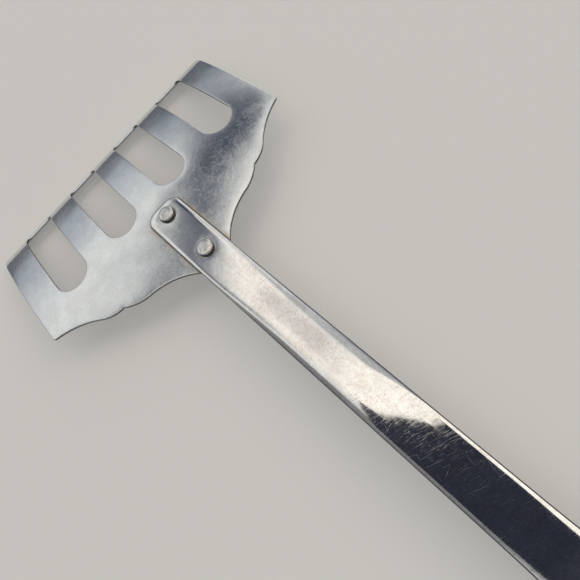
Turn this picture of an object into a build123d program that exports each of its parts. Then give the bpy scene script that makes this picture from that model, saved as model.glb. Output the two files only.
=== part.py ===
"""Grill spatula: a slotted sheet-metal head riveted under a pressed steel handle.

Millimetres, +Z up. The handle runs along X with the head at +X, and the part is
symmetric about the XZ plane. The origin is below the middle of the bounding box.
Lengths named *_U are measured along X from the front rivet, forwards positive.
"""
import os
from math import asin, cos, radians, sin

from build123d import *

os.makedirs("parts", exist_ok=True)

# ---- overall ----
LENGTH = 400.0              # front of the lip to the tip of the handle

# ---- head sheet ----
HEAD_T = 1.0                # sheet thickness
FINGER_W = 12.0             # width of each finger and side band
SLOT_W = 14.0               # width of each slot
SLOT_COUNT = 4
HEAD_W = (SLOT_COUNT + 1) * FINGER_W + SLOT_COUNT * SLOT_W
SLOT_REAR_U = 10.0          # rounded rear end of the slots
SLOT_FRONT_U = 56.0         # front end of the slots
SLOT_CORNER_R = 2.5         # corners at the front end of the slots
TAIL_U = -29.5              # hidden tail of the head, under the handle
TAIL_HALF_W = 3.5
TAIL_CORNER_R = 2.0
FRONT_CORNER_R = 1.8        # outer corners of the lip
REAR_CORNER_R = 0.8         # outer rear corners of the side bands

# ---- head curvature, seen from the side ----
DROOP_U = 5.5               # the flat seat ends here and the head starts to droop
DROOP_R = 250.0
LIP_U = 47.0                # the tighter lip curl starts here
LIP_R = 22.0
LIP_END_DEG = 51.0          # slope of the sheet at the front edge

# ---- rear edge of one half of the head: arcs as start, through, end ----
NECK = (-25.8, 7.2)
NECK_MID = (-19.6, 14.9)
SHOULDER = (-16.5, 24.5)
SHOULDER_MID = (-14.75, 29.1)
CUSP = (-11.8, 33.1)
CUSP_MID = (-10.95, 36.9)
WAIST = (-8.9, 40.5)
WAIST_MID = (-2.8, 48.5)
HEAD_CORNER = (1.0, HEAD_W / 2)

# ---- handle ----
HANDLE_T = 1.5              # strip thickness
HANDLE_W = 14.0             # width at the head and along the shank
HANDLE_FRONT_U = 5.6        # front end, ahead of the front rivet
HANDLE_FRONT_R = 4.5        # its rounded corners
GRIP_W = 22.0               # width where the hand holds it
WIDEN_U = -135.0            # the strip starts to widen
GRIP_U = -215.0             # and reaches its full width
ARCH_U = -150.0             # behind here the handle arches gently down to its tip
FLANGE_U = -33.0            # the side flanges start behind the head's tail
FLANGE_FULL_U = -85.0       # and reach their full depth
FLANGE_DEPTH = 3.0          # below the strip's underside
FLANGE_WALL = 1.5
SHOULDER_R = 1.2            # rounding of the upper edges
HANG_HOLE_R = 4.0
HANG_HOLE_INSET = 12.0      # from the tip to the centre of the hanging hole

# ---- rivets ----
RIVET_SPACING = 22.0
RIVET_SHANK_R = 2.0
RIVET_HEAD_R = 2.9
RIVET_RIM = 0.35            # straight rim under the dome
RIVET_HEAD_H = 1.4
RIVET_FLAT_R = 1.2          # hammered flat on top of the dome
RIVET_DOME_MID = (2.35, 2.55)   # radius and height above the seat, halfway up the dome
RIVET_TAIL_R = 2.8
RIVET_TAIL_H = 0.7

# ---- derived placement ----
LIP_START = asin((LIP_U - DROOP_U) / DROOP_R)
LIP_END = radians(LIP_END_DEG)
LIP_TIP_U = LIP_U + LIP_R * (sin(LIP_END) - sin(LIP_START))
LIP_TIP_DROP = DROOP_R * (1 - cos(LIP_START)) + LIP_R * (cos(LIP_START) - cos(LIP_END))
RIVET_X = LENGTH / 2 - LIP_TIP_U                    # front rivet
SEAT_Z = LIP_TIP_DROP + HEAD_T * cos(LIP_END)       # flat top of the head
TIP_U = LIP_TIP_U - LENGTH
BEYOND_LIP_U = LIP_TIP_U + HEAD_T                   # clear of the front edge
HANDLE_DEEP = HANDLE_T + FLANGE_DEPTH
ARCH_DROP = SEAT_Z - FLANGE_DEPTH                   # brings the tip down to the rest plane
ARCH_RUN = ARCH_U - TIP_U
ARCH_R = (ARCH_RUN**2 + ARCH_DROP**2) / (2 * ARCH_DROP) + HANDLE_DEEP
ARCH_OVERRUN = 1.0                                  # the arch is drawn past the tip, then cut
ARCH_END = asin((ARCH_RUN + ARCH_OVERRUN) / (ARCH_R - HANDLE_DEEP))
HOLE_ANGLE = asin((ARCH_RUN - HANG_HOLE_INSET) / ARCH_R)
TALL = 60.0                                         # more than any height here
CORNER_SEARCH = 0.1                                 # how near the rear corners are looked for
SEAM_SEARCH = 1.0                                   # and the seam where the arch starts


def side(u, z):
    """A point in the XZ plane, from its distance to the front rivet and the seat."""
    return (RIVET_X + u, SEAT_Z + z)


def plan(u, y):
    """A point in plan, from its distance to the front rivet."""
    return (RIVET_X + u, y)


def droop_point(angle, depth):
    """A point of the drooping sheet where its slope is angle, depth below its top."""
    radius = DROOP_R - depth
    return side(DROOP_U + radius * sin(angle), radius * cos(angle) - DROOP_R)


def lip_point(angle, depth):
    """A point of the lip curl where its slope is angle, depth below its top."""
    radius = LIP_R - depth
    centre_u = LIP_U - LIP_R * sin(LIP_START)
    centre_z = DROOP_R * (cos(LIP_START) - 1) - LIP_R * cos(LIP_START)
    return side(centre_u + radius * sin(angle), centre_z + radius * cos(angle))


def arch_point(angle, depth):
    """A point of the arched handle where its slope is angle, depth below its top."""
    radius = ARCH_R - depth
    return side(ARCH_U - radius * sin(angle), HANDLE_T - ARCH_R + radius * cos(angle))


def arch_curve(depth):
    """The arched part of the handle, depth below its top, as one arc towards the tip."""
    ThreePointArc(
        arch_point(0, depth),
        arch_point(ARCH_END / 2, depth),
        arch_point(ARCH_END, depth),
    )


def sheet_curve(depth):
    """Flat seat, droop and lip of the sheet as one chain, depth below its top."""
    tail = side(TAIL_U, -depth)
    seat_end = side(DROOP_U, -depth)
    Line(tail, seat_end)
    ThreePointArc(seat_end, droop_point(LIP_START / 2, depth), droop_point(LIP_START, depth))
    middle = (LIP_START + LIP_END) / 2
    ThreePointArc(lip_point(LIP_START, depth), lip_point(middle, depth), lip_point(LIP_END, depth))


def rear_edge(sign):
    """The ogee rear edge of one half of the head, from its neck to its outer corner."""
    def at(point):
        return plan(point[0], sign * point[1])

    ThreePointArc(at(NECK), at(NECK_MID), at(SHOULDER))
    ThreePointArc(at(SHOULDER), at(SHOULDER_MID), at(CUSP))
    ThreePointArc(at(CUSP), at(CUSP_MID), at(WAIST))
    ThreePointArc(at(WAIST), at(WAIST_MID), at(HEAD_CORNER))


def handle_outline(inset):
    """Plan of the handle, drawn inset from its edge."""
    shank = HANDLE_W / 2 - inset
    grip = GRIP_W / 2 - inset
    front = plan(HANDLE_FRONT_U - inset, 0)[0]
    tip_centre = plan(TIP_U + GRIP_W / 2, 0)[0]
    widen = plan(WIDEN_U, 0)[0]
    full = plan(GRIP_U, 0)[0]
    Line((front, -shank), (front, shank))
    Line((front, shank), (widen, shank))
    Spline((widen, shank), (full, grip), tangents=((-1, 0), (-1, 0)))
    Line((full, grip), (tip_centre, grip))
    ThreePointArc((tip_centre, grip), (tip_centre - grip, 0), (tip_centre, -grip))
    Line((tip_centre, -grip), (full, -grip))
    Spline((full, -grip), (widen, -shank), tangents=((1, 0), (1, 0)))
    Line((widen, -shank), (front, -shank))


def rivet_outline(u):
    """Half section of a rivet: formed tail, shank and hammered dome."""
    def at(radius, z):
        return side(u + radius, z)

    Polyline(
        at(0, -HEAD_T - RIVET_TAIL_H),
        at(RIVET_TAIL_R, -HEAD_T - RIVET_TAIL_H),
        at(RIVET_TAIL_R, -HEAD_T),
        at(RIVET_SHANK_R, -HEAD_T),
        at(RIVET_SHANK_R, HANDLE_T),
        at(RIVET_HEAD_R, HANDLE_T),
        at(RIVET_HEAD_R, HANDLE_T + RIVET_RIM),
    )
    ThreePointArc(
        at(RIVET_HEAD_R, HANDLE_T + RIVET_RIM),
        at(*RIVET_DOME_MID),
        at(RIVET_FLAT_R, HANDLE_T + RIVET_HEAD_H),
    )
    Line(at(RIVET_FLAT_R, HANDLE_T + RIVET_HEAD_H), at(0, HANDLE_T + RIVET_HEAD_H))
    Line(at(0, HANDLE_T + RIVET_HEAD_H), at(0, -HEAD_T - RIVET_TAIL_H))


# ---- head: a curved sheet, cut to its plan outline and slotted ----
with BuildPart() as head:
    with BuildSketch(Plane.XZ):
        with BuildLine():
            sheet_curve(0)
            sheet_curve(HEAD_T)
            Line(side(TAIL_U, 0), side(TAIL_U, -HEAD_T))
            Line(lip_point(LIP_END, 0), lip_point(LIP_END, HEAD_T))
        make_face()
    extrude(amount=HEAD_W / 2, both=True)

    with BuildSketch() as head_plan:
        with BuildLine():
            tail_right = plan(TAIL_U, TAIL_HALF_W)
            tail_left = plan(TAIL_U, -TAIL_HALF_W)
            Line(tail_left, tail_right)
            Line(tail_right, plan(*NECK))
            rear_edge(1)
            Line(plan(*HEAD_CORNER), plan(BEYOND_LIP_U, HEAD_W / 2))
            Line(plan(BEYOND_LIP_U, HEAD_W / 2), plan(BEYOND_LIP_U, -HEAD_W / 2))
            Line(plan(BEYOND_LIP_U, -HEAD_W / 2), plan(HEAD_CORNER[0], -HEAD_W / 2))
            rear_edge(-1)
            Line(plan(NECK[0], -NECK[1]), tail_left)
        make_face()
        fillet(head_plan.vertices().group_by(Axis.X)[0], TAIL_CORNER_R)
        outer_corners = (
            head_plan.vertices()
            .filter_by_position(Axis.X, plan(0, 0)[0], plan(HEAD_CORNER[0] + CORNER_SEARCH, 0)[0])
        )
        fillet(outer_corners, REAR_CORNER_R)
    extrude(amount=TALL, mode=Mode.INTERSECT)

    lip_edges = head.faces().sort_by(Axis.X)[-1].edges()
    fillet(lip_edges.filter_by(Axis.Y, reverse=True), FRONT_CORNER_R)

    with BuildSketch() as slots:
        slot_x = plan(SLOT_REAR_U + SLOT_W / 2, 0)[0]
        with Locations((slot_x, 0)):
            with GridLocations(0, FINGER_W + SLOT_W, 1, SLOT_COUNT):
                Circle(SLOT_W / 2)
                Rectangle(
                    SLOT_FRONT_U - SLOT_REAR_U - SLOT_W / 2,
                    SLOT_W,
                    align=(Align.MIN, Align.CENTER),
                )
        fillet(slots.vertices().group_by(Axis.X)[-1], SLOT_CORNER_R)
    extrude(amount=TALL, mode=Mode.SUBTRACT)

    with BuildSketch():
        with Locations(plan(0, 0), plan(-RIVET_SPACING, 0)):
            Circle(RIVET_SHANK_R)
    extrude(amount=TALL, mode=Mode.SUBTRACT)

# ---- the hollow under the handle, between its flanges ----
with BuildPart() as hollow:
    with BuildSketch(Plane.XZ):
        with BuildLine():
            Line(side(FLANGE_U, 0), side(ARCH_U, 0))
            arch_curve(HANDLE_T)
            Line(arch_point(ARCH_END, HANDLE_T), arch_point(ARCH_END, TALL))
            Line(arch_point(ARCH_END, TALL), side(FLANGE_U, -TALL))
            Line(side(FLANGE_U, -TALL), side(FLANGE_U, 0))
        make_face()
    extrude(amount=GRIP_W, both=True)
    with BuildSketch(Plane.XY.offset(-TALL)):
        with BuildLine():
            handle_outline(FLANGE_WALL)
        make_face()
    extrude(amount=2 * TALL, mode=Mode.INTERSECT)

# ---- handle: a strip whose edges turn down into flanges behind the head ----
with BuildPart() as handle:
    with BuildSketch(Plane.XZ):
        with BuildLine():
            Line(side(HANDLE_FRONT_U, HANDLE_T), side(ARCH_U, HANDLE_T))
            arch_curve(0)
            Line(arch_point(ARCH_END, 0), arch_point(ARCH_END, HANDLE_DEEP))
            arch_curve(HANDLE_DEEP)
            Line(side(ARCH_U, -FLANGE_DEPTH), side(FLANGE_FULL_U, -FLANGE_DEPTH))
            Spline(
                side(FLANGE_FULL_U, -FLANGE_DEPTH),
                side(FLANGE_U, 0),
                tangents=((1, 0), (1, 0)),
            )
            Line(side(FLANGE_U, 0), side(HANDLE_FRONT_U, 0))
            Line(side(HANDLE_FRONT_U, 0), side(HANDLE_FRONT_U, HANDLE_T))
        make_face()
    extrude(amount=GRIP_W, both=True)
    with BuildSketch() as handle_plan:
        with BuildLine():
            handle_outline(0)
        make_face()
        fillet(handle_plan.vertices().group_by(Axis.X)[-1], HANDLE_FRONT_R)
    extrude(amount=TALL, mode=Mode.INTERSECT)

    seam_x = plan(ARCH_U, 0)[0]
    top_faces = handle.faces().filter_by(lambda face: face.normal_at().Z > cos(2 * ARCH_END))
    rim = top_faces.edges().filter_by(lambda edge: abs(edge.center().X - seam_x) > SEAM_SEARCH)
    fillet(rim, SHOULDER_R)
    add(hollow.part, mode=Mode.SUBTRACT)

    with BuildSketch(Plane.XY.offset(SEAT_Z)):
        with Locations(plan(0, 0), plan(-RIVET_SPACING, 0)):
            Circle(RIVET_SHANK_R)
    extrude(amount=HANDLE_T, mode=Mode.SUBTRACT)

    hole_x, hole_z = arch_point(HOLE_ANGLE, HANDLE_T / 2)
    hole_axis = (-sin(HOLE_ANGLE), 0, cos(HOLE_ANGLE))
    with BuildSketch(Plane(origin=(hole_x, 0, hole_z), x_dir=(0, 1, 0), z_dir=hole_axis)):
        Circle(HANG_HOLE_R)
    extrude(amount=HANDLE_DEEP, both=True, mode=Mode.SUBTRACT)

# ---- rivets ----
with BuildPart() as rivet_front:
    with BuildSketch(Plane.XZ):
        with BuildLine():
            rivet_outline(0)
        make_face()
    revolve(axis=Axis((RIVET_X, 0, 0), (0, 0, 1)))

with BuildPart() as rivet_rear:
    with BuildSketch(Plane.XZ):
        with BuildLine():
            rivet_outline(-RIVET_SPACING)
        make_face()
    revolve(axis=Axis((RIVET_X - RIVET_SPACING, 0, 0), (0, 0, 1)))

head.part.label = "head"
handle.part.label = "handle"
rivet_front.part.label = "rivet_front"
rivet_rear.part.label = "rivet_rear"
for piece in (head, handle, rivet_front, rivet_rear):
    box = piece.part.bounding_box()
    low = tuple(round(v, 3) for v in box.min)
    high = tuple(round(v, 3) for v in box.max)
    print(piece.part.label, "volume", round(piece.part.volume, 1), low, high)

print("front rivet x", round(RIVET_X, 3), "seat z", round(SEAT_Z, 3))
print("hanging hole at", round(hole_x, 3), round(hole_z, 3), "leaning", round(HOLE_ANGLE, 5))
export_step(head.part, "parts/head.step")
export_step(handle.part, "parts/handle.step")
export_step(rivet_front.part, "parts/rivet_front.step")
export_step(rivet_rear.part, "parts/rivet_rear.step")
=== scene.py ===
import math
import random

import bpy
import numpy as np
from mathutils import Matrix, Vector
from mathutils.geometry import delaunay_2d_cdt


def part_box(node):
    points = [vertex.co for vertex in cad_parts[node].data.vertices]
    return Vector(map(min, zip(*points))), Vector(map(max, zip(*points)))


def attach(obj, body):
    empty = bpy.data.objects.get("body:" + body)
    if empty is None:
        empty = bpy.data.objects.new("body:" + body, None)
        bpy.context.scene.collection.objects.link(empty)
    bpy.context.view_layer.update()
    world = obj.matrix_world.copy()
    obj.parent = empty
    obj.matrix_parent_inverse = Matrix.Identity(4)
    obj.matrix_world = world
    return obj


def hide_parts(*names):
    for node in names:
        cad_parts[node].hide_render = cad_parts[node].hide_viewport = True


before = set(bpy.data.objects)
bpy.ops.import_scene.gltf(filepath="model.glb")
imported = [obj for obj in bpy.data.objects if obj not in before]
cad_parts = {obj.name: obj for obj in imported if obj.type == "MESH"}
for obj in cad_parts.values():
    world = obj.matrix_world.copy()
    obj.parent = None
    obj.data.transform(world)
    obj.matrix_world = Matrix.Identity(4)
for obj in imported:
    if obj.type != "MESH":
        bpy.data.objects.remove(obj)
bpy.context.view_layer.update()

MM = 0.001

# ---------------------------------------------------------------- frame places
rivet_low, rivet_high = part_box("rivet_front")
rear_low, rear_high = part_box("rivet_rear")
RIVET_X = (rivet_low[0] + rivet_high[0]) / 2
REAR_RIVET_U = ((rear_low[0] + rear_high[0]) / 2 - RIVET_X) / MM
SEAT_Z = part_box("head")[1][2]
TIP_U = (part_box("handle")[0][0] - RIVET_X) / MM


def place(u, y, z):
    """Row-frame metres from millimetres measured from the front rivet and the head's seat."""
    return (RIVET_X + u * MM, y * MM, SEAT_Z + z * MM)


# ---------------------------------------------------------------- plane curves
def arc_through(a, m, b, count):
    """Points of the arc from a through m to b, without its last point."""
    a, m, b = (np.array(p, float) for p in (a, m, b))
    d = 2 * (a[0] * (m[1] - b[1]) + m[0] * (b[1] - a[1]) + b[0] * (a[1] - m[1]))
    ux = ((a @ a) * (m[1] - b[1]) + (m @ m) * (b[1] - a[1]) + (b @ b) * (a[1] - m[1])) / d
    uy = ((a @ a) * (b[0] - m[0]) + (m @ m) * (a[0] - b[0]) + (b @ b) * (m[0] - a[0])) / d
    c = np.array((ux, uy))
    r = np.linalg.norm(a - c)
    t0, tm, t1 = (math.atan2(*(p - c)[::-1]) for p in (a, m, b))
    turn = (t1 - t0) % (2 * math.pi)
    if (tm - t0) % (2 * math.pi) > turn:
        turn -= 2 * math.pi
    return [tuple(c + r * np.array((math.cos(t), math.sin(t))))
            for t in (t0 + turn * k / count for k in range(count))]


def straight(a, b, step):
    """Evenly spaced points from a to b, without b."""
    a, b = np.array(a, float), np.array(b, float)
    count = max(1, int(round(np.linalg.norm(b - a) / step)))
    return [tuple(a + (b - a) * k / count) for k in range(count)]


def corner(centre, radius, start, end, count):
    """A rounded corner's points, angles in degrees, last point included."""
    angles = np.radians(np.linspace(start, end, count))
    return [(centre[0] + radius * math.cos(t), centre[1] + radius * math.sin(t)) for t in angles]


NO_LENGTH = 1e-9


def inward(points):
    """Unit normals to the left of a closed chain of points."""
    p = np.array(points)
    edge = np.roll(p, -1, axis=0) - p
    edge /= np.linalg.norm(edge, axis=1)[:, None]
    left = np.stack((-edge[:, 1], edge[:, 0]), 1)
    n = left + np.roll(left, 1, axis=0)
    n /= np.maximum(np.linalg.norm(n, axis=1), NO_LENGTH)[:, None]
    return n


def moved_in(loop, distance):
    """A closed loop moved inwards."""
    return [tuple(p + distance * n) for p, n in zip(np.array(loop), inward(loop))]


def inside(points, loop):
    """Which points lie inside a closed loop."""
    x, y = points[:, 0], points[:, 1]
    hit = np.zeros(len(points), bool)
    a = np.array(loop)
    b = np.roll(a, -1, axis=0)
    for (x0, y0), (x1, y1) in zip(a, b):
        if y0 == y1:
            continue
        crosses = (y0 > y) != (y1 > y)
        at = (x1 - x0) * (y - y0) / (y1 - y0) + x0
        hit ^= crosses & (x < at)
    return hit


def nearest(points, loop):
    """Distance from each point to the corners of a closely sampled loop."""
    a = np.array(loop)
    return np.sqrt(((points[:, None, :] - a[None, :, :]) ** 2).sum(2)).min(1)


def apart(points, loops):
    """Distance from each point to the nearest of some closed chains of straight edges."""
    best = np.full(len(points), np.inf)
    for loop in loops:
        a = np.array(loop)
        along = np.roll(a, -1, axis=0) - a
        length = (along ** 2).sum(1)
        for p, d, n in zip(a, along, length):
            t = np.clip(((points - p) @ d) / n, 0, 1)
            best = np.minimum(best, np.hypot(*(points - p - t[:, None] * d).T))
    return best


def within(points, loops):
    """Which points lie inside the first loop and outside the others."""
    keep = inside(points, loops[0])
    for loop in loops[1:]:
        keep &= ~inside(points, loop)
    return keep


BELT_CLEAR = 0.45                        # mm that the grid keeps from a belt
SAME_POINT = 1e-7
NO_AREA = 1e-9


def fill(loops, grid, gap, belts=()):
    """Triangles over the first loop, less the others, with grid points at least gap from each.

    Belts are further points, each lot with the least distance that they keep from the loops.
    Returns the plane points, starting with the loops' own in order, and the triangles.
    """
    grid = np.array(grid)
    grid = grid[within(grid, loops)]
    for loop in loops:
        grid = grid[nearest(grid, loop) > gap]
    for belt, clear in belts:
        belt = np.array(belt)
        belt = belt[within(belt, loops)]
        belt = belt[apart(belt, loops) > clear]
        grid = grid[nearest(grid, belt) > BELT_CLEAR]
        grid = np.concatenate((grid, belt))
    points, edges = [], []
    for loop in loops:
        start = len(points)
        points += [Vector(p) for p in loop]
        edges += [(start + k, start + (k + 1) % len(loop)) for k in range(len(loop))]
    points += [Vector(p) for p in grid]
    _, _, faces, origin, _, _ = delaunay_2d_cdt(points, edges, [], 0, SAME_POINT)
    flat = np.array([(p.x, p.y) for p in points])
    faces = np.array([[origin[k][0] for k in f] for f in faces])
    faces = faces[within(flat[faces].mean(1), loops)]
    a, b, c = (flat[faces[:, k]] for k in range(3))
    area = (b[:, 0] - a[:, 0]) * (c[:, 1] - a[:, 1]) - (b[:, 1] - a[:, 1]) * (c[:, 0] - a[:, 0])
    faces = faces[np.abs(area) > NO_AREA]
    area = area[np.abs(area) > NO_AREA]
    faces[area < 0] = faces[area < 0][:, ::-1]
    return flat, faces.tolist()


def join_rings(faces, first, second):
    """Quads between two closed rings of vertices."""
    for k in range(len(first)):
        j = (k + 1) % len(first)
        faces.append([first[j], first[k], second[k], second[j]])


def piece(name, vertices, faces, material, node):
    """Makes a smooth mesh piece that stands for one CAD node."""
    mesh = bpy.data.meshes.new(name)
    mesh.from_pydata([tuple(v) for v in vertices], [], [tuple(f) for f in faces])
    mesh.validate()
    mesh.shade_smooth()
    mesh.materials.append(material)
    mesh.update()
    obj = bpy.data.objects.new(name, mesh)
    bpy.context.scene.collection.objects.link(obj)
    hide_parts(node)
    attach(obj, "root")


# ---------------------------------------------------------------- materials
class Nodes:
    """Short calls for building a shader's node tree."""

    def __init__(self, tree):
        self.tree = tree

    def new(self, kind, **values):
        node = self.tree.nodes.new(kind)
        for key, value in values.items():
            setattr(node, key, value)
        return node

    def put(self, socket, value):
        if isinstance(value, bpy.types.NodeSocket):
            self.tree.links.new(value, socket)
        else:
            socket.default_value = value

    def math(self, operation, *values):
        node = self.new("ShaderNodeMath", operation=operation)
        for socket, value in zip(node.inputs, values):
            self.put(socket, value)
        return node.outputs[0]

    def add(self, a, b):
        return self.math("ADD", a, b)

    def less(self, a, b):
        return self.math("SUBTRACT", a, b)

    def most(self, a, b):
        return self.math("MAXIMUM", a, b)

    def clip(self, value, low, high):
        return self.math("MINIMUM", self.most(value, low), high)

    def size(self, value):
        return self.math("ABSOLUTE", value)

    def times(self, product, *others):
        for value in others:
            product = self.math("MULTIPLY", product, value)
        return product

    def scaled_on(self, value, factor, base):
        """value * factor + base."""
        return self.math("MULTIPLY_ADD", value, factor, base)

    def vector(self, operation, a, b):
        node = self.new("ShaderNodeVectorMath", operation=operation)
        self.put(node.inputs[0], a)
        self.put(node.inputs[1], b)
        return node.outputs["Value" if operation == "DOT_PRODUCT" else "Vector"]

    def length(self, x, y):
        node = self.new("ShaderNodeVectorMath", operation="LENGTH")
        self.put(node.inputs[0], self.join(x, y))
        return node.outputs["Value"]

    def turned(self, vector, degrees):
        node = self.new("ShaderNodeVectorRotate", rotation_type="Z_AXIS")
        self.put(node.inputs["Vector"], vector)
        node.inputs["Angle"].default_value = math.radians(degrees)
        return node.outputs[0]

    def split(self, vector):
        node = self.new("ShaderNodeSeparateXYZ")
        self.put(node.inputs[0], vector)
        return node.outputs

    def join(self, x, y, z=0.0):
        node = self.new("ShaderNodeCombineXYZ")
        for socket, value in zip(node.inputs, (x, y, z)):
            self.put(socket, value)
        return node.outputs[0]

    def soft(self, value, low, high, to_low=0.0, to_high=1.0):
        """A smooth step from to_low at low to to_high at high."""
        node = self.new("ShaderNodeMapRange", interpolation_type="SMOOTHSTEP")
        for socket, v in zip(node.inputs, (value, low, high, to_low, to_high)):
            self.put(socket, v)
        return node.outputs[0]

    def noise(self, vector, scale, detail, rough=0.5, output="Fac"):
        node = self.new("ShaderNodeTexNoise", noise_dimensions="3D")
        self.put(node.inputs["Vector"], vector)
        node.inputs["Scale"].default_value = scale
        node.inputs["Detail"].default_value = detail
        node.inputs["Roughness"].default_value = rough
        return node.outputs[output]

    def white(self, x, y, z):
        node = self.new("ShaderNodeTexWhiteNoise", noise_dimensions="3D")
        self.put(node.inputs["Vector"], self.join(x, y, z))
        return node.outputs

    def mix(self, factor, a, b):
        node = self.new("ShaderNodeMix", data_type="RGBA")
        self.put(node.inputs["Factor"], factor)
        self.put(node.inputs["A"], a)
        self.put(node.inputs["B"], b)
        return node.outputs["Result"]


ROW_SEED = 3.7
ROW_SHIFT = 7.0                          # scratch lengths that a row may be shifted along
SCRATCH_SWAY = 0.35                      # share of the spacing that a scratch may lie off its row
SCRATCH_REACH, SCRATCH_TAPER = 0.36, 0.15
FAINT_POWER, FAINTEST = 1.6, 0.28        # most scratches are faint


def scratches(n, at, angle, length, spacing, width, share, seed):
    """Fine scratches, one at most to a cell, as a mask from 0 to 1. Sizes in mm."""
    x, y, _ = n.split(n.turned(at, angle))
    row = n.math("DIVIDE", y, spacing)
    row_cell = n.math("FLOOR", row)
    shift = n.white(row_cell, seed, ROW_SEED)[0]
    along = n.add(n.math("DIVIDE", x, length), n.times(shift, ROW_SHIFT))
    cell = n.math("FLOOR", along)
    chance, vary, lean = n.split(n.white(cell, row_cell, seed)["Color"])
    here = n.less(n.less(along, cell), 0.5)
    across = n.less(n.less(row, row_cell), 0.5)
    offset = n.add(n.times(here, n.less(lean, 0.5)), n.times(n.less(vary, 0.5), SCRATCH_SWAY))
    line = n.soft(n.size(n.less(across, offset)), width / spacing, 0.0)
    reach = n.times(n.add(lean, 0.35), SCRATCH_REACH)
    ends = n.soft(n.less(reach, n.size(here)), 0.0, SCRATCH_TAPER)
    present = n.math("LESS_THAN", chance, share)
    strength = n.scaled_on(n.math("POWER", vary, FAINT_POWER), 1 - FAINTEST, FAINTEST)
    return n.times(line, ends, present, strength)


FRONT_X = RIVET_X / MM


def ahead_of_rivet(n, at):
    """Distance in mm ahead of the front rivet."""
    return n.less(n.split(at)[0], FRONT_X)


BEND_SCALE, BEND = 0.16, 0.3             # wavelengths to a mm, and mm, that scratches wander
SMUDGE, SMUDGE_SHARE = (0.40, 0.39, 0.38, 1), 0.16
REAR_U, HAND_U, REAR_WEAR = -150.0, -105.0, 0.45
GRAIN_SCALE = (0.22, 2.6, 1.0)           # wavelengths to a mm along and across the brushing


def steel(name, low, high, rough, rough_range, marks, marks_rough, marks_depth, swells, brush, dirt_and_shade,
          worn=(0.0, 1.0, 1.0, 1.0), pebble=None):
    """Worn stainless steel.

    low, high: the tint's range; rough, rough_range: roughness and how much clouds add to it;
    marks: scratch layers, each angle, length, spacing, width, share of cells and seed;
    marks_rough, marks_depth: roughness that scratches add, and their depth in mm;
    swells: (wavelengths to a mm, height in mm) of uneven polish;
    brush: (direction in degrees, height in mm) of a faint brushed grain;
    dirt_and_shade: a function that adds dirt and painted shade to colour and roughness;
    worn: two distances ahead of the front rivet in mm, and how scratched the steel is at each;
    pebble: (wavelengths to a mm, height in mm) of a fine unevenness, and the distances ahead of
    the front rivet where it starts, is full, is full still and ends.
    """
    material = bpy.data.materials.new(name)
    material.use_nodes = True
    tree = material.node_tree
    tree.nodes.clear()
    n = Nodes(tree)
    coordinates = n.new("ShaderNodeTexCoord")
    in_mm = n.new("ShaderNodeVectorMath", operation="SCALE")
    n.put(in_mm.inputs[0], coordinates.outputs["Object"])
    in_mm.inputs["Scale"].default_value = 1 / MM
    at = in_mm.outputs[0]
    u = ahead_of_rivet(n, at)

    bend = n.noise(at, BEND_SCALE, 1.0, output="Color")
    bent = n.vector("ADD", at, n.vector("MULTIPLY", bend, (BEND, BEND, 0.0)))
    mask = scratches(n, bent, *marks[0])
    for values in marks[1:]:
        mask = n.most(mask, scratches(n, bent, *values))
    mask = n.times(mask, n.soft(u, *worn), n.soft(u, REAR_U, HAND_U, REAR_WEAR, 1.0))

    fine = n.noise(at, 0.9, 4.0, 0.65)
    broad = n.noise(at, 0.11, 3.0, 0.55)
    cloud = n.soft(n.scaled_on(fine, 0.5, n.times(broad, 0.5)), 0.38, 0.62)
    smudge = n.soft(n.noise(at, 0.19, 2.0), 0.36, 0.64)
    colour = n.mix(cloud, (*low, 1), (*high, 1))
    colour = n.mix(n.times(smudge, SMUDGE_SHARE), colour, SMUDGE)
    roughness = n.scaled_on(mask, marks_rough, n.scaled_on(cloud, rough_range, rough))

    height = n.times(mask, -marks_depth)
    for scale, amount in swells:
        height = n.scaled_on(n.noise(at, scale, 2.0), amount, height)
    if pebble:
        scale, amount, start, full, full_still, end = pebble
        reach = n.times(n.soft(u, start, full), n.soft(u, end, full_still))
        height = n.scaled_on(n.times(n.noise(at, scale, 3.0, 0.6), amount), reach, height)
    grain = n.vector("MULTIPLY", n.turned(bent, -brush[0]), GRAIN_SCALE)
    height = n.scaled_on(n.noise(grain, 1.0, 3.0, 0.6), brush[1], height)
    bump = n.new("ShaderNodeBump")
    bump.inputs["Strength"].default_value = 1.0
    bump.inputs["Distance"].default_value = MM
    n.put(bump.inputs["Height"], height)

    # adds dirt, and painted shade on edges, seams and flanks
    colour, roughness = dirt_and_shade(n, at, coordinates.outputs["Normal"], colour, roughness)
    shader = n.new("ShaderNodeBsdfPrincipled")
    shader.inputs["Metallic"].default_value = 1.0
    n.put(shader.inputs["Base Color"], colour)
    n.put(shader.inputs["Roughness"], roughness)
    n.put(shader.inputs["Normal"], bump.outputs[0])
    n.put(n.new("ShaderNodeOutputMaterial").inputs["Surface"], shader.outputs[0])
    return material


HANDLE_FRONT_U = 5.6
HANDLE_W = 14.0
SEAM_R = 4.0                             # corner radius of the seam round the strip's front end


def strip_distance(n, at):
    """Distance in mm, in plan, from the edge of the handle's strip, outside it."""
    ahead = n.less(ahead_of_rivet(n, at), HANDLE_FRONT_U - SEAM_R)
    aside = n.less(n.size(n.split(at)[1]), HANDLE_W / 2 - SEAM_R)
    return n.less(n.length(n.most(ahead, 0.0), n.most(aside, 0.0)), SEAM_R)


# painted shade: near-black colour for the head's sideways cut edges
CUT_EDGE_SHADE = (0.075, 0.07, 0.07, 1)
GREASE = (0.42, 0.34, 0.24, 1)
# painted shadow, dark brown like dirt, for the seam under the strip's edge
SEAM_SHADOW_AND_DIRT = (0.09, 0.075, 0.06, 1)
DIRT_ROUGH = 0.18


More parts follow.
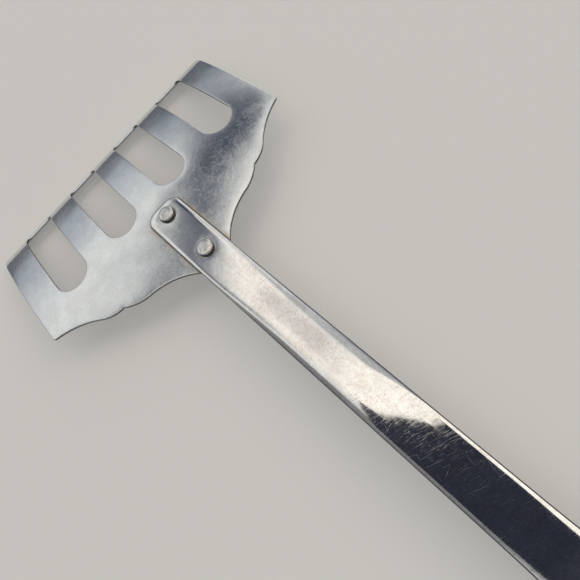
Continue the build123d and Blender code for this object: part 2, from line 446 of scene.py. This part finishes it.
def head_dirt_and_shade(n, at, normal, colour, roughness):
    """Painted shade darkens the sideways cut edges; a halo of baked-on grease lies by the strip, and
    painted shadow with dirt in the seam under its edge.
    """
    up = n.split(normal)[2]
    # painted shade: cut edges, found by their sideways normals, get a near-black colour
    edge_shade = n.times(n.soft(n.size(up), 0.60, 0.20), 0.93)
    colour = n.mix(edge_shade, colour, CUT_EDGE_SHADE)
    roughness = n.scaled_on(edge_shade, 0.15, roughness)
    upper = n.math("GREATER_THAN", up, 0.0)
    gap = strip_distance(n, at)
    u = ahead_of_rivet(n, at)
    patchy = n.soft(n.noise(at, 0.22, 3.0, 0.6), 0.28, 0.62)
    halo = n.times(n.soft(gap, 2.5, 0.1), patchy, n.soft(u, 4.0, 7.0, 0.85, 0.05), upper)
    colour = n.mix(halo, colour, GREASE)
    # painted shadow with dirt: a dark line on the head within 0.75 mm of the strip's edge, weaker
    # ahead of it
    seam_shadow_and_dirt = n.times(n.soft(gap, 0.75, 0.15), n.soft(u, 3.0, 6.0, 0.8, 0.4), upper)
    colour = n.mix(seam_shadow_and_dirt, colour, SEAM_SHADOW_AND_DIRT)
    return colour, n.scaled_on(n.most(halo, seam_shadow_and_dirt), DIRT_ROUGH, roughness)


STAIN = (0.56, 0.49, 0.44, 1)
STREAK = (0.45, 0.42, 0.40, 1)
SPECK = (0.46, 0.41, 0.37, 1)
PIT = (0.25, 0.20, 0.16, 1)
# painted shade for the handle's rolled shoulders
SHOULDER_SHADE = (0.045, 0.045, 0.05, 1)
# dirt and painted shade in a ring round each rivet's foot
RING_SHADE_AND_DIRT = (0.12, 0.11, 0.10, 1)
RING_IN, RING_OUT = 2.9, 3.6             # mm from a rivet's middle
DARK_SCRATCHES = ((-38, 8.0, 2.3, 0.11, 0.30, 91.0), (52, 6.0, 2.6, 0.10, 0.30, 97.0),
                  (96, 4.0, 2.2, 0.10, 0.25, 101.0))


def handle_dirt_and_shade(n, at, normal, colour, roughness):
    """Warm mottling, specks, dark pits and scratches, painted shade on the rolled shoulders, and dirt
    with painted shade round the rivets.
    """
    u, y = ahead_of_rivet(n, at), n.split(at)[1]
    stain = n.noise(n.vector("MULTIPLY", at, (0.45, 1.0, 1.0)), 0.42, 4.0, 0.62)
    colour = n.mix(n.times(n.soft(stain, 0.48, 0.66), 0.34), colour, STAIN)
    streak = n.noise(n.vector("MULTIPLY", at, (0.03, 0.9, 1.0)), 1.0, 2.0)
    colour = n.mix(n.times(n.soft(streak, 0.52, 0.66), 0.16), colour, STREAK)
    patches = n.soft(n.noise(at, 0.16, 2.0), 0.38, 0.62, 0.40, 1.0)
    specks = n.times(n.soft(n.noise(at, 1.3, 4.0, 0.75), 0.48, 0.64), patches, 0.42)
    colour = n.mix(n.times(specks, n.soft(u, -24.0, -42.0)), colour, SPECK)
    pits = n.times(n.soft(n.noise(at, 2.0, 3.0, 0.65), 0.57, 0.68), 0.60, patches)
    pits = n.times(pits, n.soft(u, -28.0, -40.0))
    dark = scratches(n, at, *DARK_SCRATCHES[0])
    for values in DARK_SCRATCHES[1:]:
        dark = n.most(dark, scratches(n, at, *values))
    colour = n.mix(n.most(pits, n.times(dark, 0.5)), colour, PIT)
    up = n.split(normal)[2]
    # painted shade: the sloping shoulders, found by their normals, are darkened
    shoulder_shade = n.times(n.soft(up, 0.88, 0.70), n.soft(up, 0.0, 0.25), 0.9)
    colour = n.mix(shoulder_shade, colour, SHOULDER_SHADE)
    for rivet_u in (0.0, REAR_RIVET_U):
        away = n.length(n.less(u, rivet_u), y)
        # dirt with painted shade: a dark ring on the strip round each rivet's foot
        ring = n.times(n.soft(away, RING_OUT, RING_IN), 0.8)
        colour = n.mix(ring, colour, RING_SHADE_AND_DIRT)
        roughness = n.scaled_on(ring, 0.25, roughness)
    return colour, roughness


HOLLOW = (0.32, 0.31, 0.29, 1)
# painted shade for the rivets' steep flanks
FLANK_SHADE = (0.06, 0.055, 0.05, 1)


def rivet_dirt_and_shade(n, at, normal, colour, roughness):
    """Dirt in the low places of the hammered heads, and painted shade on their flanks."""
    low = n.times(n.soft(n.noise(at, 0.8, 2.0), 0.50, 0.64), 0.30)
    colour = n.mix(low, colour, HOLLOW)
    # painted shade: the steep flanks, found by their normals, are darkened
    flank_shade = n.times(n.soft(n.size(n.split(normal)[2]), 0.45, 0.15), 0.85)
    return n.mix(flank_shade, colour, FLANK_SHADE), n.scaled_on(low, 0.1, roughness)


head_steel = steel(
    "head_steel", (0.588, 0.612, 0.630), (0.69, 0.70, 0.695), 0.108, 0.05,
    [(28, 9.0, 1.2, 0.05, 0.30, 11.0), (-41, 8.0, 1.5, 0.05, 0.30, 23.0),
     (74, 7.0, 1.3, 0.05, 0.25, 37.0), (-70, 10.0, 1.7, 0.05, 0.22, 43.0)],
    0.16, 0.0005, [(0.9, 0.0050), (0.28, 0.014)], (-53, 0.0032), head_dirt_and_shade)
handle_steel = steel(
    "handle_steel", (0.635, 0.645, 0.648), (0.735, 0.745, 0.745), 0.042, 0.035,
    [(-71, 5.5, 0.7, 0.05, 0.62, 5.0), (-62, 6.5, 0.8, 0.05, 0.55, 17.0),
     (-80, 5.0, 0.7, 0.05, 0.58, 29.0), (-68, 3.5, 0.6, 0.05, 0.50, 47.0),
     (-100, 4.5, 1.0, 0.05, 0.38, 41.0), (21, 6.0, 0.9, 0.05, 0.42, 53.0),
     (10, 8.0, 1.3, 0.05, 0.35, 61.0)],
    0.29, 0.0004, [(0.20, 0.015), (0.45, 0.0030)], (0, 0.0012), handle_dirt_and_shade,
    (-22.0, -75.0, 0.06, 1.0), (1.2, 0.0042, -26.0, -42.0, -78.0, -94.0))
rivet_steel = steel(
    "rivet_steel", (0.60, 0.60, 0.59), (0.68, 0.68, 0.66), 0.23, 0.04,
    [(33, 1.6, 0.5, 0.05, 0.4, 71.0), (-47, 1.4, 0.6, 0.05, 0.4, 83.0)],
    0.06, 0.0004, [(0.40, 0.009)], (20, 0.0005), rivet_dirt_and_shade)

# ---------------------------------------------------------------- head sheet
HEAD_T = 1.0
HEAD_HALF_W = 58.0
SLOT_W = 14.0
FINGER_W = 12.0
SLOT_REAR_U = 10.0
SLOT_FRONT_U = 56.0
SLOT_CORNER_R = 2.5
DROOP_U, DROOP_R = 5.5, 250.0
LIP_U, LIP_R = 47.0, 22.0
LIP_END = math.radians(51.0)
LIP_START = math.asin((LIP_U - DROOP_U) / DROOP_R)
LIP_CENTRE_U = LIP_U - LIP_R * math.sin(LIP_START)
LIP_CENTRE_Z = DROOP_R * (math.cos(LIP_START) - 1) - LIP_R * math.cos(LIP_START)
LIP_LENGTH = LIP_R * (LIP_END - LIP_START)
LIP_CORNER_R = 1.8


def sheet_at(u):
    """Height of the sheet's top above its seat, and its forward slope angle."""
    if u <= DROOP_U:
        return 0.0, 0.0
    if u <= LIP_U:
        a = math.asin((u - DROOP_U) / DROOP_R)
        return DROOP_R * (math.cos(a) - 1), a
    a = math.asin(min(1.0, (u - LIP_CENTRE_U) / LIP_R))
    return LIP_CENTRE_Z + LIP_R * math.cos(a), a


def lip_u(s):
    """Plan position of a point a length s along the curled lip."""
    return LIP_CENTRE_U + LIP_R * math.sin(LIP_START + s / LIP_R)


RIPPLE_SEED, RIPPLES, RIPPLE_HEIGHT = 8, 7, 0.030
RIPPLE_RISE = 9.0                        # mm from the seat over which ripples grow
LIP_SPARE, LIP_FADE = 4.0, 12.0          # mm past the lip's start where they end, and fade over
rnd = random.Random(RIPPLE_SEED)
WAVES = [(rnd.uniform(0.10, 0.26), rnd.uniform(0, 2 * math.pi), rnd.uniform(0, 2 * math.pi),
          rnd.uniform(0.4, 1.0)) for _ in range(RIPPLES)]


def ripple(u, y):
    """The slight unevenness of a pressed sheet, 0 at its seat and its lip."""
    total = sum(a * math.sin(k * (u * math.cos(t) + y * math.sin(t)) + p) for k, t, p, a in WAVES)
    away = min(1.0, max(0.0, (abs(y) - HANDLE_W / 2) / RIPPLE_RISE)
               + max(0.0, (u - HANDLE_FRONT_U) / RIPPLE_RISE))
    lip = min(1.0, max(0.0, (LIP_U + LIP_SPARE - u) / LIP_FADE))
    return RIPPLE_HEIGHT * total * away * lip


ROLL_DEPTH, ROLL_REACH = 0.075, 1.1


def die_roll(gap):
    """How far the punch has drawn the sheet's surface down at a distance from an edge."""
    return ROLL_DEPTH * math.exp(-gap / ROLL_REACH)


def sheet_point(u, y, depth, gap):
    """A point of the head, depth below its top along the sheet's normal, gap from an edge."""
    z, a = sheet_at(u)
    return place(u - depth * math.sin(a), y, z + ripple(u, y) - depth * math.cos(a) - die_roll(gap))


def rear_edge():
    """The ogee rear edge of the half at positive y, from the neck to the outer corner."""
    return (arc_through((-25.8, 7.2), (-19.6, 14.9), (-16.5, 24.5), 16)
            + arc_through((-16.5, 24.5), (-14.75, 29.1), (-11.8, 33.1), 9)
            + arc_through((-11.8, 33.1), (-10.95, 36.9), (-8.9, 40.5), 8)
            + arc_through((-8.9, 40.5), (-2.8, 48.5), (0.75, 57.3), 16))


def head_outline():
    """The head's outline, anticlockwise in plan."""
    half = [(-29.5, 0.0), (-29.5, 2.4), (-29.1, 3.4), (-28.5, 4.3)]
    half += straight((-28.0, 5.0), (-25.8, 7.2), 1.0)
    half += rear_edge() + [(0.80, 57.5), (1.05, 57.85), (1.5, HEAD_HALF_W)]
    half += straight((2.5, HEAD_HALF_W), (LIP_U, HEAD_HALF_W), 1.4)
    curl = LIP_LENGTH - LIP_CORNER_R
    half += [(lip_u(s), HEAD_HALF_W) for s in np.linspace(0, curl, 18)]
    half += [(lip_u(curl + LIP_CORNER_R * math.sin(t)),
              HEAD_HALF_W - LIP_CORNER_R + LIP_CORNER_R * math.cos(t))
             for t in np.linspace(0, math.pi / 2, 8)[1:]]
    tip = half[-1]
    front = straight((tip[0], -tip[1]), tip, 1.2)[1:]
    mirrored = [(u, -y) for u, y in half[1:]]
    return [half[0]] + mirrored + front + half[:0:-1]


def slot_outline(yc):
    """One slot's outline, clockwise, so that the sheet lies to its left."""
    r = SLOT_W / 2
    rear = SLOT_REAR_U + r
    bend = SLOT_FRONT_U - SLOT_CORNER_R
    left, right = yc + r - SLOT_CORNER_R, yc - r + SLOT_CORNER_R
    points = corner((rear, yc), r, 90, 270, 26)
    points += straight((rear + 1.2, yc - r), (bend, yc - r), 1.3)
    points += corner((bend, right), SLOT_CORNER_R, -90, 0, 8)
    points += straight((SLOT_FRONT_U, right + 1.0), (SLOT_FRONT_U, left), 1.0)
    points += corner((bend, left), SLOT_CORNER_R, 0, 90, 8)
    points += straight((bend - 1.2, yc + r), (rear, yc + r), 1.3)
    return points[::-1]


HEAD_EDGE_R, HEAD_RIM = 0.2, 0.15        # edge rounding, and a flat rim inside it
BELTS, BELT_SLACK = (0.5, 1.15), 0.96    # rows of points beside the rim, and how close they keep
ROW_STEP, CURL_STEP, CROSS_STEP = 1.45, 0.8, 1.4
HEAD_CLEAR = 1.6                         # mm that grid points keep from the rim


def build_head():
    """The pressed sheet: top, underside, and the rounded cut edges between them."""
    loops = [head_outline()] + [slot_outline(k * (FINGER_W + SLOT_W) / 2) for k in (-3, -1, 1, 3)]
    rim = HEAD_EDGE_R + HEAD_RIM
    rings = [(rim, 0.0), (HEAD_EDGE_R, 0.0)]
    rings += [(HEAD_EDGE_R * (1 - math.sin(t)), HEAD_EDGE_R * (1 - math.cos(t)))
              for t in np.radians((30, 60, 90))]
    rings += [(d, HEAD_T - e) for d, e in rings[::-1]]
    rows = list(np.arange(-29, LIP_U, ROW_STEP))
    rows += [lip_u(s) for s in np.arange(0.3, LIP_LENGTH, CURL_STEP)]
    grid = [(u, y) for u in rows for y in np.arange(-57.4, 57.5, CROSS_STEP)]
    belts = [([p for loop in loops for p in moved_in(loop, rim + d)], BELT_SLACK * d) for d in BELTS]
    flat, top_faces = fill([moved_in(loop, rim) for loop in loops], grid, HEAD_CLEAR, belts)
    gaps = apart(flat, loops)
    vertices = [sheet_point(u, y, 0.0, gap) for (u, y), gap in zip(flat, gaps)]
    shift = len(vertices)
    vertices += [sheet_point(u, y, HEAD_T, gap) for (u, y), gap in zip(flat, gaps)]
    faces = top_faces + [[shift + k for k in f[::-1]] for f in top_faces]
    start = 0
    for loop in loops:
        count = len(loop)
        previous = list(range(start, start + count))
        for d, e in rings[1:-1]:
            current = list(range(len(vertices), len(vertices) + count))
            vertices += [sheet_point(u, y, e, d) for u, y in moved_in(loop, d)]
            join_rings(faces, previous, current)
            previous = current
        join_rings(faces, previous, [shift + start + k for k in range(count)])
        start += count
    piece("head_sheet", vertices, faces, head_steel, "head")


build_head()

# ---------------------------------------------------------------- handle
HANDLE_T = 1.5
HANDLE_FRONT_R = 4.5
GRIP_HALF_W = 11.0
WIDEN_U, GRIP_U = -135.0, -215.0
FLANGE_U, FLANGE_FULL_U, FLANGE_DEPTH, FLANGE_WALL = -33.0, -85.0, 3.0, 1.5
ARCH_U = -150.0
HANG_HOLE_R, HANG_HOLE_INSET = 4.0, 12.0
ARCH_DROP = SEAT_Z / MM - FLANGE_DEPTH
ARCH_RUN = ARCH_U - TIP_U
ARCH_R = (ARCH_RUN ** 2 + ARCH_DROP ** 2) / (2 * ARCH_DROP) + HANDLE_T + FLANGE_DEPTH


def smooth(x):
    """A smooth step from 0 at 0 to 1 at 1."""
    x = min(1.0, max(0.0, x))
    return x * x * (3 - 2 * x)


def line_at(u):
    """How far the arched handle has dropped below its straight part."""
    if u > ARCH_U:
        return 0.0
    return math.sqrt(ARCH_R ** 2 - (ARCH_U - u) ** 2) - ARCH_R


def flange_at(u):
    """How deep the side flanges hang below the strip's underside."""
    return FLANGE_DEPTH * smooth((FLANGE_U - u) / (FLANGE_U - FLANGE_FULL_U))


def section_at(u, y):
    """Rolled edge of the section: corner radius, slope where it ends, and the roll's whole width."""
    behind = smooth((-24.0 - u) / 45.0)
    ahead = smooth((u + 1.0) / 4.0)
    return (0.42 + 0.28 * behind, math.radians(22.0 + 4.0 * behind - 10.0 * ahead),
            1.45 + 2.35 * behind + 1.25 * ahead + 0.5 * (1 - behind) * smooth((1.5 - y) / 3.0))


SLOPE_LEVELS, CORNER_LEVELS, SLOPE_POWER = 5, 6, 2.5
WALL_LEVEL = SLOPE_LEVELS + CORNER_LEVELS


def roll(u, y, level):
    """Inset from the edge and drop below the top, from the roll's inner end to the wall."""
    radius, slope, width = section_at(u, y)
    start = radius * (1 - math.sin(slope))
    rise = math.tan(slope) * (width - start) / SLOPE_POWER
    if level <= SLOPE_LEVELS:
        x = 1 - level / SLOPE_LEVELS
        return start + x * (width - start), rise * (1 - x) ** SLOPE_POWER
    t = slope + (math.pi / 2 - slope) * (level - SLOPE_LEVELS) / CORNER_LEVELS
    return radius * (1 - math.sin(t)), rise + radius * (math.cos(slope) - math.cos(t))


def crown_at(u):
    """How far the strip's top falls from its middle to its edges."""
    return 0.03 + 0.22 * smooth((-20.0 - u) / 50.0)


def half_width_at(u):
    """Half of the strip's width, which grows at the grip."""
    return HANDLE_W / 2 + (GRIP_HALF_W - HANDLE_W / 2) * smooth((WIDEN_U - u) / (WIDEN_U - GRIP_U))


PRESS_DEPTH, PRESS_R, PRESS_REACH = 0.022, 3.4, 0.8    # the ring that riveting pressed in


def handle_top(u, y):
    """Height of the strip's crowned top above the seat, away from its rolled edges."""
    z = HANDLE_T + line_at(u) - crown_at(u) * (y / half_width_at(u)) ** 2
    for centre in (0.0, REAR_RIVET_U):
        away = math.hypot(u - centre, y)
        z -= PRESS_DEPTH * math.exp(-((away - PRESS_R) / PRESS_REACH) ** 2)
    return z


def handle_outline():
    """The handle's outline, anticlockwise in plan."""
    half_w = HANDLE_W / 2
    tip_centre = TIP_U + GRIP_HALF_W
    front = HANDLE_FRONT_U - HANDLE_FRONT_R
    upper = corner((front, half_w - HANDLE_FRONT_R), HANDLE_FRONT_R, 0, 90, 14)
    upper += [(u, half_w) for u in np.arange(front - 1.2, WIDEN_U, -1.8)]
    upper += [(u, half_width_at(u)) for u in np.linspace(WIDEN_U, GRIP_U, 44)]
    upper += [(u, GRIP_HALF_W) for u in np.arange(GRIP_U - 2, tip_centre + 1, -2.0)]
    upper += corner((tip_centre, 0.0), GRIP_HALF_W, 90, 180, 22)
    lower = [(u, -y) for u, y in upper[:-1]][::-1]
    middle = straight(lower[-1], upper[0], 0.9)[1:]
    return upper + lower + middle


HANDLE_EDGE_R, EDGE_CUT = 0.25, 0.09     # edge rounding, and its middle point's inset
FILLET = 0.8                             # from a flange's inner face to the strip's underside
FLANGE_LEVELS = 9


def flange_section(u):
    """Insets from the edge and heights above the underside, down the wall and back up inside."""
    low = -flange_at(u)
    soft = min(HANDLE_EDGE_R, -low)
    inner = min(FILLET, -low / 2)
    return [(0.0, low + HANDLE_EDGE_R), (EDGE_CUT, low + EDGE_CUT), (HANDLE_EDGE_R, low),
            (FLANGE_WALL - HANDLE_EDGE_R, low), (FLANGE_WALL - EDGE_CUT, low + soft * 0.3),
            (FLANGE_WALL, low + soft), (FLANGE_WALL, -inner),
            (FLANGE_WALL + HANDLE_EDGE_R, -inner * 0.3), (FLANGE_WALL + FILLET, 0.0)]


def side_ring(outline, level):
    """The handle's ring at one level, from the top's rim round to the underside's."""
    points = []
    for p, n in zip(np.array(outline), inward(outline)):
        if level <= WALL_LEVEL:
            d, drop = roll(*p, level)
            u, y = p + d * n
            points.append(place(u, y, handle_top(u, y) - drop))
        else:
            d, z = flange_section(p[0])[level - WALL_LEVEL - 1]
            u, y = p + d * n
            points.append(place(u, y, z + line_at(u)))
    return points


HOLE_RIM = 0.35
HOLE_UPPER = ((0.16, 0.04), (0.04, 0.16), (0.0, 0.35))    # inset, and mm below the top
HOLE_LOWER = ((0.0, 0.25), (0.1, 0.05))                   # inset, and mm above the underside
STRIP_STEP, STRIP_CROSS = 1.6, 1.05
TOP_CLEAR, LOW_CLEAR = 0.33, 0.5         # mm that grid points keep from the rims
PRESS_RINGS = (2.6, 3.0, 3.4, 3.8, 4.2)  # radii of extra points round each rivet


def build_handle():
    """The strip: crowned top, rolled sides, flanges, underside and the bore of the hanging hole."""
    outline = handle_outline()
    hole = corner((TIP_U + HANG_HOLE_INSET, 0.0), HANG_HOLE_R, 0, -360, 49)[:-1]
    grid = [(u, y) for u in np.arange(TIP_U + 1, HANDLE_FRONT_U, STRIP_STEP)
            for y in np.arange(-10.5, 10.6, STRIP_CROSS)]
    for centre in (0.0, REAR_RIVET_U):
        for r in PRESS_RINGS:
            grid += corner((centre, 0.0), r, 0, 350, 36)
    hole_rim = moved_in(hole, HOLE_RIM)
    top_rim = [tuple(p + section_at(*p)[2] * n) for p, n in zip(np.array(outline), inward(outline))]
    top_flat, top_faces = fill([top_rim, hole_rim], grid, TOP_CLEAR)
    low_flat, low_faces = fill([moved_in(outline, FLANGE_WALL + FILLET), hole_rim], grid, LOW_CLEAR)
    vertices = [place(u, y, handle_top(u, y)) for u, y in top_flat]
    shift = len(vertices)
    vertices += [place(u, y, line_at(u)) for u, y in low_flat]
    faces = top_faces + [[shift + k for k in f[::-1]] for f in low_faces]

    count = len(outline)
    previous = list(range(count))
    for level in range(1, WALL_LEVEL + FLANGE_LEVELS):
        current = list(range(len(vertices), len(vertices) + count))
        vertices += side_ring(outline, level)
        join_rings(faces, previous, current)
        previous = current
    join_rings(faces, previous, list(range(shift, shift + count)))

    bore = [[place(u, y, handle_top(u, y) - e) for u, y in moved_in(hole, d)] for d, e in HOLE_UPPER]
    bore += [[place(u, y, line_at(u) + e) for u, y in moved_in(hole, d)] for d, e in HOLE_LOWER]
    previous = list(range(count, count + len(hole)))
    for ring in bore:
        current = list(range(len(vertices), len(vertices) + len(hole)))
        vertices += ring
        join_rings(faces, previous, current)
        previous = current
    join_rings(faces, previous, [shift + count + k for k in range(len(hole))])
    piece("handle_channel", vertices, faces, handle_steel, "handle")


build_handle()

# ---------------------------------------------------------------- rivets
RIVET_R, RIVET_H, RIVET_WALL = 2.9, 1.4, 0.86
DOME_RINGS = (0.35, 0.7, 1.05, 1.4, 1.7, 1.95, 2.2, 2.4, 2.56, 2.68, 2.77, 2.83, 2.87)
DOME_POWER = 5.0
SHANK_R, TAIL_R, TAIL_H = 2.0, 2.8, 0.7
AROUND = 72
BLOWS = 5
CRATER_DEPTH, CRATER_R = 0.06, 1.1
BURR_HEIGHT, BURR_R, BURR_W = 0.025, 1.5, 0.4


def build_rivet(name, node, centre_u, seed):
    """A hammered dome, its shank and its flattened tail under the head."""
    rnd = random.Random(seed)
    blows = [(rnd.uniform(0.7, 2.2), rnd.uniform(0, 2 * math.pi), rnd.uniform(0.65, 1.1),
              rnd.uniform(0.02, 0.05)) for _ in range(BLOWS)]
    dent = (rnd.uniform(-0.3, 0.3), rnd.uniform(-0.3, 0.3))

    def top(r, t):
        x, y = r * math.cos(t), r * math.sin(t)
        k = min(1.0, r / RIVET_R)
        z = RIVET_WALL + (RIVET_H - RIVET_WALL) * (1 - 0.07 * k * k) * (1 - k ** DOME_POWER) ** 0.5
        crater = math.hypot(x - dent[0], y - dent[1])
        z -= CRATER_DEPTH * math.exp(-(crater / CRATER_R) ** 2)
        z += BURR_HEIGHT * math.exp(-((crater - BURR_R) / BURR_W) ** 2)
        for radius, angle, size, deep in blows:
            away = math.hypot(x - radius * math.cos(angle), y - radius * math.sin(angle))
            z -= deep * math.exp(-(away / size) ** 2) * (1 - k ** 4)
        return min(z, RIVET_H - 0.01)

    under = -HANDLE_T - HEAD_T
    profile = [(RIVET_R, RIVET_WALL - 0.1), (RIVET_R, 0.35), (2.88, 0.12), (2.80, 0.0),
               (SHANK_R, 0.0), (SHANK_R, under), (TAIL_R - 0.15, under), (TAIL_R, under - 0.15),
               (TAIL_R, under - TAIL_H + 0.25), (TAIL_R - 0.25, under - TAIL_H),
               (1.2, under - TAIL_H)]
    turns = [2 * math.pi * k / AROUND for k in range(AROUND)]
    rings = [[(r, t, max(top(r, t), RIVET_WALL - 0.04)) for t in turns] for r in DOME_RINGS]
    rings += [[(r, t, z) for t in turns] for r, z in profile]
    vertices = [place(centre_u, 0, HANDLE_T + top(0, 0))]
    vertices += [place(centre_u + r * math.cos(t), r * math.sin(t), HANDLE_T + z)
                 for ring in rings for r, t, z in ring]
    vertices.append(place(centre_u, 0, -HEAD_T - TAIL_H))
    faces = [(0, 1 + k, 1 + (k + 1) % AROUND) for k in range(AROUND)]
    for ring in range(len(rings) - 1):
        a, b = 1 + ring * AROUND, 1 + (ring + 1) * AROUND
        for k in range(AROUND):
            j = (k + 1) % AROUND
            faces.append((a + k, b + k, b + j, a + j))
    a, last = 1 + (len(rings) - 1) * AROUND, len(vertices) - 1
    faces += [(a + k, last, a + (k + 1) % AROUND) for k in range(AROUND)]
    piece(name, vertices, faces, rivet_steel, node)


build_rivet("rivet_front_dome", "rivet_front", 0.0, 4)
build_rivet("rivet_rear_dome", "rivet_rear", REAR_RIVET_U, 9)

# ---------------------------------------------------------------- floor
FLOOR_HALF = 60.0
FLOOR_DROP = 0.0002                      # keeps the lip clear of the floor
floor_mesh = bpy.data.meshes.new("floor")
floor_mesh.from_pydata([(-FLOOR_HALF, -FLOOR_HALF, 0), (FLOOR_HALF, -FLOOR_HALF, 0),
                        (FLOOR_HALF, FLOOR_HALF, 0), (-FLOOR_HALF, FLOOR_HALF, 0)],
                       [], [(0, 1, 2, 3)])
floor = bpy.data.objects.new("floor", floor_mesh)
bpy.context.scene.collection.objects.link(floor)
floor.location.z = -FLOOR_DROP
floor_material = bpy.data.materials.new("floor_pale")
floor_material.use_nodes = True
floor_shader = floor_material.node_tree.nodes["Principled BSDF"]
floor_shader.inputs["Base Color"].default_value = (0.66, 0.645, 0.62, 1)
floor_shader.inputs["Roughness"].default_value = 0.8
floor_shader.inputs["Specular IOR Level"].default_value = 0.2
floor_shader.inputs["Emission Color"].default_value = (1.0, 0.98, 0.95, 1)
floor_shader.inputs["Emission Strength"].default_value = 0.14
floor_mesh.materials.append(floor_material)

# ---------------------------------------------------------------- light
HORIZON, OVERHEAD = (0.93, 1.0, 1.11, 1), (1.0, 0.995, 0.965, 1)
SOUTH_SHADE, NORTH_SHADE = (0.11, 0.125, 0.165, 1), (0.10, 0.095, 0.10, 1)
LAMP, LAMP_HOT, LAMP_DULL = (1.05, 0.97, 0.90, 1), (1.53, 1.43, 1.29, 1), (0.70, 0.68, 0.69, 1)
WINDOW, WINDOW_TO = (1.25, 1.22, 1.15, 1), (0.72, -0.60, 0.34)
BAR = (0.048, 0.066, 0.112, 1)
CARD, CARD_BACK, CARD_BLUR = (0.034, 0.038, 0.058, 1), -0.95, 0.007
BACKDROP = (0.52, 0.51, 0.495, 1)

world = bpy.data.worlds.new("studio")
bpy.context.scene.world = world
world.use_nodes = True
world.node_tree.nodes.clear()
w = Nodes(world.node_tree)
sky = w.new("ShaderNodeTexCoord").outputs["Generated"]

# Directions above the horizon, laid out on a level ceiling one unit up: east is +X, north +Y.
sky_x, sky_y, sky_z = w.split(sky)
ceiling = w.most(sky_z, 0.02)
east = w.math("DIVIDE", sky_x, ceiling)
north = w.math("DIVIDE", sky_y, ceiling)
south = w.times(north, -1.0)

# A dim horizon, a pale wall above it, and shaded parts in the south and low in the north.
wall = w.scaled_on(w.soft(sky_z, 0.33, 0.41), 0.40, 0.20)
wall = w.scaled_on(w.soft(sky_z, 0.41, 0.64), 0.43, wall)
radiance = w.mix(w.soft(sky_z, 0.34, 0.66), HORIZON, OVERHEAD)
radiance = w.vector("MULTIPLY", radiance, w.join(wall, wall, wall))
shade = w.most(w.times(w.soft(south, 0.02, 0.40), w.soft(east, 0.85, 1.08, 0.06, 0.33)),
               w.times(w.soft(south, 0.22, 0.50), w.soft(east, 0.75, 0.55, 0.0, 0.42)))
radiance = w.mix(shade, radiance, SOUTH_SHADE)
shade = w.times(w.soft(north, 0.60, 0.95), w.soft(north, 2.6, 1.9),
                w.soft(east, -0.55, -0.30), w.soft(east, 1.1, 0.8), 0.78)
radiance = w.mix(shade, radiance, NORTH_SHADE)

# The lamp: a broad cream panel overhead and ahead, brighter at its ends, duller in the middle.
front_edge = w.soft(w.scaled_on(north, 0.6, east), 0.76, 0.56)
lamp_south = w.less(south, w.soft(east, 0.24, 0.14, 0.06, 2.2))
lit = w.times(front_edge, w.soft(east, -1.2, -0.8), w.soft(north, 0.66, 0.12),
              w.soft(lamp_south, 0.44, 0.0))
hot = w.most(w.soft(east, 0.34, 0.20), w.times(w.soft(east, 0.44, 0.53), 0.55))
hot = w.most(hot, w.times(w.soft(north, 0.01, 0.06), w.soft(east, 0.66, 0.52, 0.0, 0.5)))
dull = w.times(w.soft(w.size(w.add(north, 0.04)), 0.075, 0.02),
               w.soft(east, 0.26, 0.36), w.soft(east, 0.58, 0.50))
hot = w.times(hot, w.scaled_on(dull, -0.7, 1.0))
lamp = w.mix(w.times(dull, 0.30), w.mix(hot, LAMP, LAMP_HOT), LAMP_DULL)
radiance = w.mix(lit, radiance, lamp)

# A small second window, low in the south-east.
glint = w.vector("DOT_PRODUCT", sky, tuple(Vector(WINDOW_TO).normalized()))
radiance = w.mix(w.soft(glint, 0.955, 0.985), radiance, WINDOW)

# A dark bar that crosses the light slantwise, wider and darker to the south.
reach = w.clip(south, 0.0, 0.45)
offset = w.scaled_on(north, 0.5, w.less(east, 0.83))
near = w.scaled_on(reach, -0.05, -0.025)
near_end = w.less(near, w.soft(south, 0.02, 0.27, 0.17, 0.05))
near_end = w.less(near_end, w.soft(north, 0.0, 0.16, 0.0, 0.14))
far_end = w.scaled_on(reach, 1.30, 0.25)
bar = w.times(w.soft(offset, near_end, near), w.soft(offset, far_end, -0.005),
              w.soft(south, -0.60, -0.25), w.soft(south, 0.66, 0.40),
              w.soft(south, -0.1, 0.3, 0.77, 1.0), w.math("GREATER_THAN", sky_x, 0.0))
radiance = w.mix(bar, radiance, BAR)

# A dark card straight overhead, its front edge cut slantwise, narrower at its back.
beyond = w.less(east, w.scaled_on(w.clip(north, -0.15, 0.21), 0.42, 0.092))
aside = w.less(w.size(north), w.soft(east, -0.48, -0.24, 0.30, 1.05))
card = w.times(w.soft(beyond, CARD_BLUR, -CARD_BLUR), w.soft(east, CARD_BACK, -0.26, 0.25, 1.0),
               w.math("GREATER_THAN", east, CARD_BACK), w.soft(aside, 0.12, -0.05),
               w.math("GREATER_THAN", sky_z, 0.05))
radiance = w.mix(card, radiance, CARD)

# What the camera sees past the floor is a plain pale backdrop.
seen = w.new("ShaderNodeLightPath").outputs["Is Camera Ray"]
background = w.new("ShaderNodeBackground")
background.inputs["Strength"].default_value = 1.0
w.put(background.inputs["Color"], w.mix(seen, radiance, BACKDROP))
w.put(w.new("ShaderNodeOutputWorld").inputs["Surface"], background.outputs[0])

# ---------------------------------------------------------------- camera
EYE = (-111.1, 1.5, 116.7)               # mm from the front rivet and the head's seat
AHEAD = Vector((0.4369, -0.0656, -0.8971)).normalized()
ABOVE = Vector((0.5707, -0.7507, 0.3328))
across = AHEAD.cross(ABOVE).normalized()
turn = Matrix((across, across.cross(AHEAD), -AHEAD)).transposed()
camera_data = bpy.data.cameras.new("camera")
camera_data.sensor_width = 36.0
camera_data.lens = 27.06
camera_data.clip_start = 0.005
camera = bpy.data.objects.new("camera", camera_data)
bpy.context.scene.collection.objects.link(camera)
camera.matrix_world = Matrix.Translation(place(*EYE)) @ turn.to_4x4()
bpy.context.scene.camera = camera
bpy.context.scene.view_settings.view_transform = "Standard"
